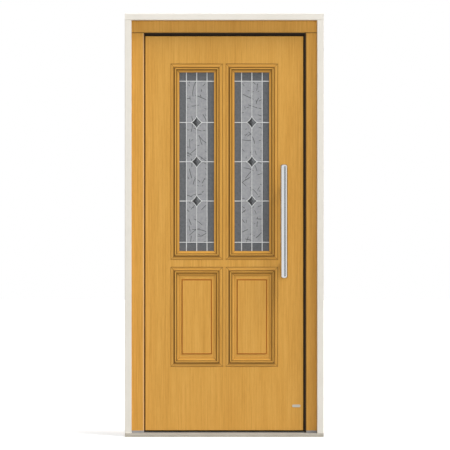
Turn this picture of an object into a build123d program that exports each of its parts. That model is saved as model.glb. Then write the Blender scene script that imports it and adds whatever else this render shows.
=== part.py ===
import os
from math import hypot

from build123d import *

# A timber front door in its frame: a flush veneered leaf with two leaded lights above two
# raised panels, hung on three barrel hinges and opening into the house.
# X runs to the right seen from outside, Y into the house and Z up. The origin is the centre
# of the sill's underside, in the plane of the frame's outside face. Sizes are in millimetres.

os.makedirs("parts", exist_ok=True)

# Frame
frame_width = 980.0
frame_height = 2180.0
frame_depth = 76.0
jamb_face = 66.0
head_face = 72.0
frame_edge_radius = 10.0
stop_lap = 14.0
gasket_width = 7.5
gasket_setback = 6.0
joint_arris = 1.2
fixing_diameter = 10.5
fixing_setback = 50.0
fixing_count = 4
fixing_bottom_inset = 240.0
fixing_top_inset = 260.0

# Surround, sill and threshold
surround_width = 35.0
surround_lead = 40.0
surround_arris = 3.0
sill_height = 20.0
sill_nosing = 8.0
sill_arris = 6.0
foot_height = 11.5
threshold_height = 3.0
threshold_inset = 4.0
tread_count = 4
tread_width = 3.0
tread_depth = 1.2
tread_pitch = 9.0

# Leaf and its running gaps
leaf_setback = 15.0
face_thickness = 16.0
side_gap = 5.8
top_gap = 10.0
bottom_gap = 8.0
core_step = 12.0
lip_step = 24.0
lip_gap = 5.0
seal_thickness = 3.0
seal_gap = 5.0
bottom_seal_width = 30.0
leaf_arris = 3.0

# Lights and panels in the leaf, seen inside their mouldings
mullion = 15.0
bottom_rail = 337.0
cross_rail = 37.0
stile = 133.7
top_rail = 145.0
panel_height = 435.0
bead_seat = 22.0
glass_clearance = 3.0
fit = 0.3

# Moulding section, from the sight edge outwards
moulding_width = 47.0
lip_width = 8.5
lip_depth = 2.5
lip_fall = 0.5
slope_width = 5.5
shoulder_height = 4.0
quirk_width = 3.0
quirk_depth = 10.0
crown_width = 7.0
crown_height = 6.0
cove_width = 8.0
cove_sagitta = 0.8
apron_depth = 2.0
groove_width = 2.4
groove_depth = 5.0
bead_reach = 8.0

# Leaded lights
came_width = 6.0
came_flange = 1.2
came_taper = 40.0
came_web = 1.6
came_edge = 11.0
glass_thickness = 3.2
glass_slack = 0.2
border_width = 37.0
border_height = 46.0
diamond_pitch = 208.0
diamond_half_width = 27.5
diamond_half_height = 31.0
diamond_hollow = 1.8
diamond_rise = 4.0
diamond_girdle = 0.4
diamond_table_inset = 15.0
pane_thickness = 24.0

# Raised panels
bevel_rise = 3.5
field_rise = 6.5
field_margin_x = 14.5
field_margin_z = 21.0
field_quirk_width = 5.0
field_quirk_depth = 6.0
field_arris = 1.0

# Pull bar on the outside
bar_diameter = 35.0
bar_length = 600.0
bar_inset = 102.5
bar_z = 1138.0
bar_dome = 7.0
bar_standoff = 62.0
post_diameter = 20.0
post_spacing = 400.0

# Lever on the inside
lever_backset = 66.0
lever_z = 1050.0
rose_width = 52.0
rose_thickness = 8.0
rose_arris = 2.0
lever_height = 20.0
lever_thickness = 12.0
lever_standoff = 54.0
lever_length = 125.0
lever_bend = 14.0
lever_end_radius = 5.0

# Lock edge
faceplate_width = 20.0
faceplate_length = 1700.0
faceplate_thickness = 3.0
bolt_width = 11.0
bolt_length = 34.0
bolt_depth = 20.0
bolt_spacing = 560.0
strike_width = 24.0
strike_length = 150.0

# Hinges
hinge_bottom_inset = 269.0
hinge_top_inset = 258.0
knuckle_radius = 11.0
knuckle_gap = 1.0
frame_knuckle_length = 35.0
leaf_knuckle_length = 50.0
pin_radius = 5.0
pin_clearance = 0.1
hinge_edge_gap = 5.0
hinge_axis_lead = 2.0
hinge_plate = 4.0
hinge_web = 12.0
frame_plate_reach = 19.0
leaf_plate_reach = 50.0

# Places that follow from these
frame_half = frame_width / 2
opening_half = frame_half - jamb_face
rebate_half = opening_half + stop_lap
surround_half = frame_half + surround_width
frame_top = sill_height + frame_height
opening_top = frame_top - head_face
head_underside = opening_top + gasket_width
rebate_top = opening_top + stop_lap
foot_top = sill_height + foot_height
threshold_top = sill_height + threshold_height
fixing_low = sill_height + fixing_bottom_inset
fixing_pitch = (frame_top - fixing_top_inset - fixing_low) / (fixing_count - 1)
fixing_places = [(fixing_setback, fixing_low + row * fixing_pitch) for row in range(fixing_count)]

outer_y = leaf_setback
core_y = outer_y + face_thickness
lip_y = frame_depth + lip_gap
inner_y = lip_y + face_thickness
stop_depth = core_y - seal_thickness - seal_gap

leaf_bottom = threshold_top + bottom_gap
outer_half = opening_half - side_gap
outer_top = opening_top - top_gap
core_half = outer_half + core_step
core_top = outer_top + core_step
lip_half = core_half + lip_step
lip_top = core_top + lip_step

sight_width = outer_half - stile - mullion / 2 - 2 * moulding_width
column_x = mullion / 2 + moulding_width + sight_width / 2
panel_bottom = leaf_bottom + bottom_rail + moulding_width
light_bottom = panel_bottom + panel_height + 2 * moulding_width + cross_rail
light_height = outer_top - top_rail - moulding_width - light_bottom
panel_middle = panel_bottom + panel_height / 2
light_middle = light_bottom + light_height / 2
glass_y = outer_y + bead_reach
came_depth = glass_thickness + 2 * glass_slack + 2 * came_flange
pane_y = glass_y + came_depth
inner_light_reach = inner_y - pane_y - pane_thickness
glass_width = sight_width + 2 * (bead_seat - glass_clearance)
glass_height = light_height + 2 * (bead_seat - glass_clearance)

column_half = sight_width / 2 - border_width
row_half = light_height / 2 - border_height
came_columns = (-column_half, 0.0, column_half)
diamond_rows = (-diamond_pitch, 0.0, diamond_pitch)
came_rows = (-row_half, *diamond_rows, row_half)

bar_x = outer_half - bar_inset
bar_y = outer_y - bar_standoff
lever_x = core_half - lever_backset
lever_y = inner_y + lever_standoff
bolt_heights = (lever_z - bolt_spacing, lever_z, lever_z + bolt_spacing)
lock_y = (core_y + lip_y) / 2
strike_y = (stop_depth + frame_depth) / 2
hinge_low = leaf_bottom + hinge_bottom_inset
hinge_high = outer_top - hinge_top_inset
hinge_heights = (hinge_low, (hinge_low + hinge_high) / 2, hinge_high)
hinge_x = -(lip_half + hinge_edge_gap + knuckle_radius)
hinge_y = inner_y + hinge_axis_lead


def face_plane(y, x=0.0, z=0.0):
    """A plane parallel to the door's faces, seen from outside."""
    return Plane(origin=(x, y, z), x_dir=(1, 0, 0), z_dir=(0, -1, 0))


def side_plane(x):
    """A plane across the door, with Y and Z as its axes."""
    return Plane(origin=(x, 0, 0), x_dir=(0, 1, 0), z_dir=(1, 0, 0))


def save(builder, name):
    builder.part.label = name
    export_step(builder.part, f"parts/{name}.step")


def box_between(x0, x1, y0, y1):
    """A rectangle in the active sketch from its corner coordinates."""
    with Locations(((x0 + x1) / 2, (y0 + y1) / 2)):
        Rectangle(abs(x1 - x0), abs(y1 - y0))


# Sill
with BuildPart() as sill:
    with BuildSketch(side_plane(-surround_half)) as sill_section:
        box_between(-surround_lead - sill_nosing, frame_depth, 0, sill_height)
        fillet(sill_section.vertices().group_by(Axis.X)[0].sort_by(Axis.Y)[-1], sill_arris)
    extrude(amount=2 * surround_half)
save(sill, "sill")

# Threshold between the jamb feet, with grooves along its top
with BuildPart() as threshold:
    with BuildSketch(Plane.XY.offset(sill_height)):
        box_between(-opening_half, opening_half, threshold_inset, stop_depth)
        box_between(-rebate_half, rebate_half, stop_depth, frame_depth)
    extrude(amount=threshold_height)
    with BuildSketch(Plane.XY.offset(threshold_top)):
        with Locations((0, (stop_depth + frame_depth) / 2)):
            with GridLocations(0, tread_pitch, 1, tread_count):
                Rectangle(2 * rebate_half, tread_width)
    extrude(amount=-tread_depth, mode=Mode.SUBTRACT)
save(threshold, "threshold")


# Surround: two side boards and a head board, proud of the frame
def side_surround(name, side):
    with BuildPart() as board:
        with BuildSketch(Plane.XY.offset(sill_height)) as section:
            box_between(side * frame_half, side * surround_half, -surround_lead, frame_depth)
            fillet(section.vertices().group_by(Axis.Y)[0], surround_arris)
        extrude(amount=frame_height)
        with BuildSketch(side_plane(side * surround_half)):
            with Locations(*fixing_places):
                Circle(fixing_diameter / 2)
        extrude(amount=-side * surround_width, mode=Mode.SUBTRACT)
    save(board, name)


side_surround("surround_left", -1)
side_surround("surround_right", 1)

with BuildPart() as surround_head:
    with BuildSketch(side_plane(-surround_half)) as head_section:
        box_between(-surround_lead, frame_depth, frame_top, frame_top + surround_width)
        fillet(head_section.vertices().group_by(Axis.X)[0], surround_arris)
    extrude(amount=2 * surround_half)
save(surround_head, "surround_head")


# Frame: rebated jambs on grey feet, under a head as wide as the frame. The lock jamb and the
# head stand back from the leaf by the width of a black gasket.
def jamb_section(side):
    """The rebated section of a jamb with square edges, in the active sketch."""
    nose = opening_half + gasket_width if side > 0 else opening_half
    box_between(side * rebate_half, side * frame_half, 0, frame_depth)
    box_between(side * nose, side * rebate_half, 0, stop_depth)


def round_stop(section):
    """Rounds the edge of a jamb's section that faces the leaf."""
    front = section.vertices().group_by(Axis.Y)[0]
    fillet(front.sort_by(lambda corner: abs(corner.X))[0], frame_edge_radius)


def jamb(name, side, has_strikes):
    with BuildPart() as post:
        with BuildSketch(Plane.XY.offset(foot_top)) as section:
            jamb_section(side)
            round_stop(section)
        extrude(amount=head_underside - foot_top)
        chamfer(post.faces().sort_by(Axis.Z)[-1].edges().sort_by(Axis.Y)[0], joint_arris)
        with BuildSketch(side_plane(side * frame_half)):
            with Locations(*fixing_places):
                Circle(fixing_diameter / 2)
        extrude(amount=-side * jamb_face, mode=Mode.SUBTRACT)
        if has_strikes:
            with BuildSketch(side_plane(side * rebate_half)):
                with Locations(*[(strike_y, height) for height in bolt_heights]):
                    Rectangle(strike_width, strike_length)
            extrude(amount=side * faceplate_thickness, mode=Mode.SUBTRACT)
            with BuildSketch(side_plane(side * rebate_half)):
                with Locations(*[(lock_y, height) for height in bolt_heights]):
                    Rectangle(bolt_width + 2 * fit, bolt_length + 2 * fit)
            extrude(amount=side * bolt_depth, mode=Mode.SUBTRACT)
    save(post, name)


jamb("jamb_hinge_side", -1, False)
jamb("jamb_lock_side", 1, True)


def jamb_foot(name, side):
    with BuildPart() as foot:
        with BuildSketch(Plane.XY.offset(sill_height)) as section:
            jamb_section(side)
            round_stop(section)
        extrude(amount=foot_height)
    save(foot, name)


jamb_foot("jamb_foot_left", -1)
jamb_foot("jamb_foot_right", 1)

with BuildPart() as frame_head:
    with BuildSketch(side_plane(-frame_half)) as rail_section:
        with BuildLine():
            Polyline(
                (0, frame_top),
                (0, head_underside),
                (stop_depth, head_underside),
                (stop_depth, rebate_top),
                (frame_depth, rebate_top),
                (frame_depth, frame_top),
                close=True,
            )
        make_face()
        fillet(rail_section.vertices().group_by(Axis.X)[0].sort_by(Axis.Y)[0], frame_edge_radius)
    extrude(amount=frame_width)
    with BuildSketch(Plane.XY.offset(head_underside)):
        jamb_section(-1)
        jamb_section(1)
    extrude(amount=frame_top - head_underside)
save(frame_head, "frame_head")

# Black gasket along the lock jamb and under the head
with BuildPart() as frame_gasket:
    with BuildSketch(face_plane(gasket_setback)):
        box_between(opening_half, opening_half + gasket_width, sill_height, head_underside)
        box_between(-opening_half, opening_half + gasket_width, opening_top, head_underside)
    extrude(amount=gasket_setback - stop_depth)
save(frame_gasket, "frame_gasket")

# Strike plates let into the lock jamb
with BuildPart() as strike_plates:
    with BuildSketch(side_plane(rebate_half)):
        with Locations(*[(strike_y, height) for height in bolt_heights]):
            Rectangle(strike_width, strike_length)
        with Locations(*[(lock_y, height) for height in bolt_heights]):
            Rectangle(bolt_width + 2 * fit, bolt_length + 2 * fit, mode=Mode.SUBTRACT)
    extrude(amount=faceplate_thickness)
save(strike_plates, "strike_plates")


# Leaf: a core between two facings, cut out for the lights and panels. The facings are cut back
# to the mouldings, which lie on the core.
def leaf_outline(half_width, top, margin):
    """A layer of the leaf with its four cut-outs, in the active sketch."""
    box_between(-half_width, half_width, leaf_bottom, top)
    with Locations((-column_x, light_middle), (column_x, light_middle)):
        Rectangle(sight_width + 2 * margin, light_height + 2 * margin, mode=Mode.SUBTRACT)
    with Locations((-column_x, panel_middle), (column_x, panel_middle)):
        Rectangle(sight_width + 2 * margin, panel_height + 2 * margin, mode=Mode.SUBTRACT)


with BuildPart() as leaf_outer_face:
    with BuildSketch(face_plane(outer_y)):
        leaf_outline(outer_half, outer_top, moulding_width)
    extrude(amount=-face_thickness)
    fillet(leaf_outer_face.faces().sort_by(Axis.Y)[0].outer_wire().edges(), leaf_arris)
save(leaf_outer_face, "leaf_outer_face")

with BuildPart() as leaf_core:
    with BuildSketch(face_plane(core_y)):
        leaf_outline(core_half, core_top, bead_seat)
    extrude(amount=core_y - lip_y)
    with BuildSketch(side_plane(core_half)):
        with Locations((lock_y, lever_z)):
            Rectangle(faceplate_width, faceplate_length)
    extrude(amount=-faceplate_thickness, mode=Mode.SUBTRACT)
    with BuildSketch(side_plane(core_half - faceplate_thickness)):
        with Locations(*[(lock_y, height) for height in bolt_heights]):
            Rectangle(bolt_width, bolt_length)
    extrude(amount=-bolt_depth, mode=Mode.SUBTRACT)
save(leaf_core, "leaf_core")

with BuildPart() as leaf_inner_face:
    with BuildSketch(face_plane(lip_y)):
        leaf_outline(lip_half, lip_top, moulding_width)
    extrude(amount=-face_thickness)
    fillet(leaf_inner_face.faces().sort_by(Axis.Y)[-1].outer_wire().edges(), leaf_arris)
save(leaf_inner_face, "leaf_inner_face")

# Black seals on the core's step and under the leaf
with BuildPart() as leaf_seal:
    with BuildSketch(face_plane(core_y)):
        box_between(-core_half, core_half, leaf_bottom, core_top)
        with Locations((0, (leaf_bottom + outer_top) / 2)):
            Rectangle(2 * outer_half, outer_top - leaf_bottom, mode=Mode.SUBTRACT)
    extrude(amount=seal_thickness)
save(leaf_seal, "leaf_seal")

with BuildPart() as bottom_seal:
    with BuildSketch(Plane.XY.offset(leaf_bottom)):
        with Locations((0, lock_y)):
            Rectangle(2 * core_half, bottom_seal_width)
    extrude(amount=-seal_thickness)
save(bottom_seal, "bottom_seal")


# Mouldings: one mitred frame round each light and panel, on both faces of the leaf
def moulding(name, x, bottom, height, face_y, outward, reach):
    crown_start = lip_width + slope_width + quirk_width
    crown_end = crown_start + crown_width
    cove_start = crown_end + quirk_width
    cove_end = cove_start + cove_width
    outer_edge = moulding_width - fit
    groove_start = outer_edge - groove_width
    quirk_floor = crown_height - quirk_depth

    def point(across, rise):
        return (across, outward * rise)

    with BuildPart() as ring:
        with BuildLine() as path:
            Polyline(
                (x, face_y, bottom),
                (x + sight_width / 2, face_y, bottom),
                (x + sight_width / 2, face_y, bottom + height),
                (x - sight_width / 2, face_y, bottom + height),
                (x - sight_width / 2, face_y, bottom),
                close=True,
            )
        with BuildSketch(Plane(origin=(x, face_y, bottom), x_dir=(0, 0, -1), z_dir=(1, 0, 0))):
            with BuildLine():
                Polyline(
                    point(0, -reach),
                    point(0, -lip_depth - lip_fall),
                    point(lip_width, -lip_depth),
                    point(lip_width + slope_width, shoulder_height),
                    point(lip_width + slope_width, quirk_floor),
                    point(crown_start, quirk_floor),
                    point(crown_start, crown_height),
                    point(crown_end, crown_height),
                    point(crown_end, quirk_floor),
                    point(cove_start, quirk_floor),
                    point(cove_start, shoulder_height),
                )
                SagittaArc(
                    point(cove_start, shoulder_height), point(cove_end, -apron_depth), -outward * cove_sagitta
                )
                Polyline(
                    point(cove_end, -apron_depth),
                    point(groove_start, -apron_depth),
                    point(groove_start, -groove_depth),
                    point(outer_edge, -groove_depth),
                    point(outer_edge, -face_thickness),
                    point(bead_seat - fit, -face_thickness),
                    point(bead_seat - fit, -reach),
                    point(0, -reach),
                )
            make_face()
        sweep(path=path.wire(), transition=Transition.RIGHT)
    save(ring, name)


for column, x in (("left", -column_x), ("right", column_x)):
    moulding(f"light_moulding_{column}", x, light_bottom, light_height, outer_y, -1, bead_reach)
    moulding(f"panel_moulding_{column}", x, panel_bottom, panel_height, outer_y, -1, bead_reach)
    moulding(
        f"inner_light_moulding_{column}", x, light_bottom, light_height, inner_y, 1, inner_light_reach
    )
    moulding(f"inner_panel_moulding_{column}", x, panel_bottom, panel_height, inner_y, 1, bead_reach)


# Raised panels: a field on both faces, inside a quirk and a gentle bevel
def raised_panel(name, x):
    tongue_front = outer_y + bead_reach
    tongue_back = inner_y - bead_reach
    field_width = sight_width - 2 * field_margin_x
    field_height = panel_height - 2 * field_margin_z
    with BuildPart() as panel:
        with BuildSketch(face_plane(tongue_front, x, panel_middle)):
            Rectangle(glass_width, panel_height + 2 * (bead_seat - glass_clearance))
        extrude(amount=tongue_front - tongue_back)
        for face, outward in ((tongue_front, -1), (tongue_back, 1)):
            bevel_top = face + outward * bevel_rise
            with BuildSketch(face_plane(face, x, panel_middle)):
                Rectangle(sight_width - 2 * fit, panel_height - 2 * fit)
            with BuildSketch(face_plane(bevel_top, x, panel_middle)):
                Rectangle(field_width + 2 * field_quirk_width, field_height + 2 * field_quirk_width)
            loft(ruled=True)
            with BuildSketch(face_plane(bevel_top, x, panel_middle)):
                Rectangle(field_width + 2 * field_quirk_width, field_height + 2 * field_quirk_width)
            extrude(amount=outward * field_quirk_depth, mode=Mode.SUBTRACT)
            with BuildSketch(face_plane(bevel_top, x, panel_middle)):
                Rectangle(field_width, field_height)
            extrude(amount=outward * field_quirk_depth)
            with BuildSketch(face_plane(bevel_top, x, panel_middle)):
                Rectangle(field_width, field_height)
            extrude(amount=-outward * (field_rise - bevel_rise))
        fields = panel.faces().filter_by(Axis.Y).sort_by(Axis.Y)
        chamfer(fields[0].edges() + fields[-1].edges(), field_arris)
    save(panel, name)


raised_panel("raised_panel_left", -column_x)
raised_panel("raised_panel_right", column_x)


# Leaded lights: a lattice of lead cames that holds cut glass, over a sealed pane
side_distance = diamond_half_width * diamond_half_height / hypot(diamond_half_width, diamond_half_height)


def straight_diamond(inset):
    """A plain diamond in the active sketch, moved in from its came's centre line."""
    share = 1 - inset / side_distance
    wide = diamond_half_width * share
    tall = diamond_half_height * share
    Polygon((wide, 0), (0, tall), (-wide, 0), (0, -tall))


def diamond(inset):
    """A diamond whose sides are drawn in at the middle, moved in from its came's centre line."""
    share = 1 - inset / side_distance
    waist = share * (1 - diamond_hollow / side_distance) / 2
    right = (diamond_half_width * share, 0)
    top = (0, diamond_half_height * share)
    with BuildSketch() as outline:
        with BuildLine():
            Polyline(
                (0, 0),
                right,
                (diamond_half_width * waist, diamond_half_height * waist),
                top,
                close=True,
            )
        make_face()
        mirror(about=Plane.YZ)
        mirror(about=Plane.XZ)
    return outline.sketch


def came_bars(width, mode=Mode.ADD):
    """The straight cames in the active sketch."""
    with Locations(*[(across, 0) for across in came_columns]):
        Rectangle(width, glass_height, mode=mode)
    with Locations(*[(0, up) for up in came_rows]):
        Rectangle(glass_width, width, mode=mode)


def diamonds(inset, mode=Mode.ADD):
    """The row of diamonds in the active sketch."""
    shape = diamond(inset)
    with Locations(*[(0, up) for up in diamond_rows]):
        add(shape, mode=mode)


def lattice(width, edge):
    """Cames of one width with their border, in the active sketch."""
    Rectangle(glass_width, glass_height)
    Rectangle(glass_width - 2 * edge, glass_height - 2 * edge, mode=Mode.SUBTRACT)
    came_bars(width)
    diamonds(-width / 2)
    diamonds(width / 2, Mode.SUBTRACT)


def leaded_light(column, x):
    channel = glass_thickness + 2 * glass_slack
    channel_y = glass_y + came_flange
    cut_y = channel_y + glass_slack
    web_gap = came_web + 2 * fit
    bevel_inset = came_width / 2 + diamond_hollow
    bevel_width = diamond_table_inset - bevel_inset

    with BuildPart() as cames:
        with BuildSketch(face_plane(channel_y, x, light_middle)):
            lattice(came_width, came_edge)
        extrude(amount=came_flange, taper=came_taper)
        with BuildSketch(face_plane(channel_y, x, light_middle)):
            lattice(came_web, came_web)
        extrude(amount=-channel)
        with BuildSketch(face_plane(channel_y + channel, x, light_middle)):
            lattice(came_width, came_edge)
        extrude(amount=-came_flange)
    save(cames, f"light_cames_{column}")

    with BuildPart() as border_glass:
        with BuildSketch(face_plane(cut_y, x, light_middle)):
            Rectangle(glass_width - 2 * (came_web + fit), glass_height - 2 * (came_web + fit))
            Rectangle(2 * column_half, 2 * row_half, mode=Mode.SUBTRACT)
            came_bars(web_gap, Mode.SUBTRACT)
        extrude(amount=-glass_thickness)
    save(border_glass, f"light_border_glass_{column}")

    with BuildPart() as centre_glass:
        with BuildSketch(face_plane(cut_y, x, light_middle)):
            Rectangle(2 * column_half, 2 * row_half)
            came_bars(web_gap, Mode.SUBTRACT)
            diamonds(-web_gap / 2, Mode.SUBTRACT)
        extrude(amount=-glass_thickness)
    save(centre_glass, f"light_centre_glass_{column}")

    with BuildPart() as jewels:
        with BuildSketch(face_plane(cut_y, x, light_middle)):
            diamonds(web_gap / 2)
        extrude(amount=-glass_thickness)
        with BuildSketch(face_plane(cut_y, x, light_middle)):
            with Locations(*[(0, up) for up in diamond_rows]):
                straight_diamond(bevel_inset)
        extrude(amount=diamond_rise)
        for row in range(len(diamond_rows)):
            table = jewels.faces().group_by(Axis.Y)[0].sort_by(Axis.Z)[row]
            chamfer(table.edges(), bevel_width, diamond_rise - diamond_girdle, reference=table)
    save(jewels, f"light_diamonds_{column}")

    with BuildPart() as pane:
        with BuildSketch(face_plane(pane_y, x, light_middle)):
            Rectangle(glass_width, glass_height)
        extrude(amount=-pane_thickness)
    save(pane, f"light_pane_{column}")


leaded_light("left", -column_x)
leaded_light("right", column_x)

# Pull bar with domed ends, on two posts
with BuildPart() as pull_bar:
    half_bar = bar_length / 2
    dome_radius = ((bar_diameter / 2) ** 2 + bar_dome**2) / (2 * bar_dome)
    with BuildSketch(face_plane(bar_y, bar_x, bar_z)):
        with BuildLine():
            RadiusArc((0, half_bar), (bar_diameter / 2, half_bar - bar_dome), dome_radius)
            Line((bar_diameter / 2, half_bar - bar_dome), (bar_diameter / 2, bar_dome - half_bar))
            RadiusArc((bar_diameter / 2, bar_dome - half_bar), (0, -half_bar), dome_radius)
            Line((0, -half_bar), (0, half_bar))
        make_face()
    revolve(axis=Axis((bar_x, bar_y, bar_z), (0, 0, 1)))
save(pull_bar, "pull_bar")


def pull_bar_post(name, height):
    with BuildPart() as post:
        with BuildSketch(face_plane(outer_y, bar_x, height)):
            Circle(post_diameter / 2)
        extrude(amount=bar_standoff)
        with BuildSketch(Plane(origin=(bar_x, bar_y, height - post_diameter))):
            Circle(bar_diameter / 2)
        extrude(amount=2 * post_diameter, mode=Mode.SUBTRACT)
    save(post, name)


pull_bar_post("pull_bar_post_upper", bar_z + post_spacing / 2)
pull_bar_post("pull_bar_post_lower", bar_z - post_spacing / 2)

# Lever and rose on the inside
with BuildPart() as lever_rose:
    with BuildSketch(face_plane(inner_y, lever_x, lever_z)):
        Rectangle(rose_width, rose_width)
    extrude(amount=-rose_thickness)
    chamfer(lever_rose.edges().group_by(Axis.Y)[-1], rose_arris)
save(lever_rose, "lever_rose")

with BuildPart() as lever_handle:
    neck_x = lever_x + lever_thickness / 2
    with BuildSketch(Plane.XY.offset(lever_z - lever_height / 2)) as lever_plan:
        with BuildLine():
            Polyline(
                (neck_x, inner_y + rose_thickness),
                (neck_x, lever_y + lever_thickness),
                (lever_x - lever_length, lever_y + lever_thickness),
                (lever_x - lever_length, lever_y),
                (neck_x - lever_thickness, lever_y),
                (neck_x - lever_thickness, inner_y + rose_thickness),
                close=True,
            )
        make_face()
        grip_end = lever_plan.vertices().group_by(Axis.X)[0]
        bend_outside = lever_plan.vertices().group_by(Axis.Y)[-1].sort_by(Axis.X)[-1]
        bend_inside = lever_plan.vertices().group_by(Axis.Y)[1].sort_by(Axis.X)[-1]
        fillet(grip_end, lever_end_radius)
        fillet(bend_outside, lever_bend)
        fillet(bend_inside, lever_bend - lever_thickness)
    extrude(amount=lever_height)
save(lever_handle, "lever_handle")

# Lock faceplate and its bolts, flush in the leaf's edge
with BuildPart() as lock_faceplate:
    with BuildSketch(side_plane(core_half)):
        with Locations((lock_y, lever_z)):
            Rectangle(faceplate_width, faceplate_length)
        with Locations(*[(lock_y, height) for height in bolt_heights]):
            Rectangle(bolt_width, bolt_length, mode=Mode.SUBTRACT)
    extrude(amount=-faceplate_thickness)
save(lock_faceplate, "lock_faceplate")

with BuildPart() as lock_bolts:
    with BuildSketch(side_plane(core_half)):
        with Locations(*[(lock_y, height) for height in bolt_heights]):
            Rectangle(bolt_width - 2 * fit, bolt_length - 2 * fit)
    extrude(amount=-faceplate_thickness - bolt_depth)
save(lock_bolts, "lock_bolts")

# Barrel hinges on the inside: the frame halves carry the pins
with BuildPart() as hinge_frame_halves:
    for height in hinge_heights:
        half_barrel = leaf_knuckle_length / 2 + knuckle_gap + frame_knuckle_length
        with BuildSketch(face_plane(frame_depth, 0, height)):
            with Locations((hinge_x + (knuckle_radius - frame_plate_reach) / 2, 0)):
                Rectangle(knuckle_radius + frame_plate_reach, 2 * half_barrel)
        extrude(amount=-hinge_plate)
        for end in (-1, 1):
            start = height + end * (leaf_knuckle_length / 2 + knuckle_gap)
            with BuildSketch(Plane.XY.offset(start)):
                with Locations((hinge_x, hinge_y)):
                    Circle(knuckle_radius)
                box_between(hinge_x - hinge_web / 2, hinge_x + hinge_web / 2, frame_depth, hinge_y)
            extrude(amount=end * frame_knuckle_length)
        with BuildSketch(Plane.XY.offset(height - half_barrel)):
            with Locations((hinge_x, hinge_y)):
                Circle(pin_radius)
        extrude(amount=2 * half_barrel)
save(hinge_frame_halves, "hinge_frame_halves")

with BuildPart() as hinge_leaf_halves:
    for height in hinge_heights:
        with BuildSketch(Plane.XY.offset(height - leaf_knuckle_length / 2)):
            with Locations((hinge_x, hinge_y)):
                Circle(knuckle_radius)
            box_between(hinge_x, -lip_half + leaf_plate_reach, inner_y, inner_y + hinge_plate)
            with Locations((hinge_x, hinge_y)):
                Circle(pin_radius + pin_clearance, mode=Mode.SUBTRACT)
        extrude(amount=leaf_knuckle_length)
save(hinge_leaf_halves, "hinge_leaf_halves")
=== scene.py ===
import math

import bmesh
import bpy
from mathutils import Matrix, Vector


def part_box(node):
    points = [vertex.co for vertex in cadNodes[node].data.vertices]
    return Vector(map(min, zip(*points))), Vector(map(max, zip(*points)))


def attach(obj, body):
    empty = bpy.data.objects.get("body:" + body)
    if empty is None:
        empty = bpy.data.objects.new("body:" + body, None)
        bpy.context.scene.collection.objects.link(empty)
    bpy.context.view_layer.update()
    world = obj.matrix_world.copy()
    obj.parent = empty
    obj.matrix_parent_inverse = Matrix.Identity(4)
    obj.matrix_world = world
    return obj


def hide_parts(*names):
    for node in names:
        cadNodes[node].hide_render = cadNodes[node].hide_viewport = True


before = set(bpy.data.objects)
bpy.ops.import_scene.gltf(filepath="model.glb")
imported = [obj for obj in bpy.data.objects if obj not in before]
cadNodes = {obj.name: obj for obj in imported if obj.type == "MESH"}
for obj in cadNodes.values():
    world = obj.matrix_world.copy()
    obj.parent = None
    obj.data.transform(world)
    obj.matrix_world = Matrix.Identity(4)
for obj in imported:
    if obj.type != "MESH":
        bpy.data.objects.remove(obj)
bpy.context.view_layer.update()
scene = bpy.context.scene
print("frame loaded:", len(cadNodes), "nodes")


# Node helpers, used by every finish

def paint(red, green, blue):  # screen colour, 0 to 255, as the linear colour that a socket takes
    def linear(value):
        share = value / 255
        return share / 12.92 if share <= 0.04045 else ((share + 0.055) / 1.055) ** 2.4
    return (linear(red), linear(green), linear(blue), 1.0)


def addNode(tree, kind, inputs=None, **settings):
    made = tree.nodes.new(kind)
    for name, value in settings.items():
        setattr(made, name, value)
    for name, value in (inputs or {}).items():
        if isinstance(value, bpy.types.NodeSocket):
            tree.links.new(value, made.inputs[name])
        else:
            made.inputs[name].default_value = value
    return made


def calc(tree, operation, first, second=0.0, third=0.0):
    return addNode(tree, "ShaderNodeMath", {0: first, 1: second, 2: third}, operation=operation).outputs[0]


def objectPlace(tree):
    return addNode(tree, "ShaderNodeTexCoord").outputs["Object"]


def stretched(tree, place, scale, shift=(0.0, 0.0, 0.0)):
    mapping = addNode(tree, "ShaderNodeMapping", {"Vector": place, "Location": shift, "Scale": scale})
    return mapping.outputs["Vector"]


def noise(tree, place, scale, detail=2.0, roughness=0.5, distortion=0.0):
    inputs = {"Vector": place, "Scale": scale, "Detail": detail}
    inputs.update({"Roughness": roughness, "Distortion": distortion})
    return addNode(tree, "ShaderNodeTexNoise", inputs).outputs["Fac"]


def fade(tree, value, low, high, outLow=0.0, outHigh=1.0):  # a clamped, smooth step between two values
    inputs = {"Value": value, "From Min": low, "From Max": high, "To Min": outLow, "To Max": outHigh}
    return addNode(tree, "ShaderNodeMapRange", inputs, interpolation_type="SMOOTHSTEP").outputs["Result"]


def colourRamp(tree, value, stops):
    made = addNode(tree, "ShaderNodeValToRGB", {"Fac": value})
    points = made.color_ramp.elements
    while len(points) < len(stops):
        points.new(0.5)
    for point, (position, colour) in zip(points, stops):
        point.position = position
        point.color = colour
    return made.outputs["Color"]


def mixColour(tree, share, first, second):
    return addNode(tree, "ShaderNodeMix", {0: share, 6: first, 7: second}, data_type="RGBA").outputs[2]


def blended(tree, first, second, share):  # the share is the first value's
    return calc(tree, "MULTIPLY_ADD", first, share, calc(tree, "MULTIPLY", second, 1 - share))


def splitParts(tree, vector):
    return addNode(tree, "ShaderNodeSeparateXYZ", {0: vector}).outputs


def normalParts(tree):
    return splitParts(tree, addNode(tree, "ShaderNodeTexCoord").outputs["Normal"])


noiseSpan = (0.3, 0.7)  # where most of a noise lies


def feedRoughness(tree, shader, value, span):
    tree.links.new(fade(tree, value, *noiseSpan, *span), shader.inputs["Roughness"])


def feedRelief(tree, shader, height, look):
    inputs = {"Height": height, "Strength": look["strength"], "Distance": look["distance"]}
    tree.links.new(addNode(tree, "ShaderNodeBump", inputs).outputs["Normal"], shader.inputs["Normal"])


def feedColour(tree, shader, colour):
    tree.links.new(colour, shader.inputs["Base Color"])


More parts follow.
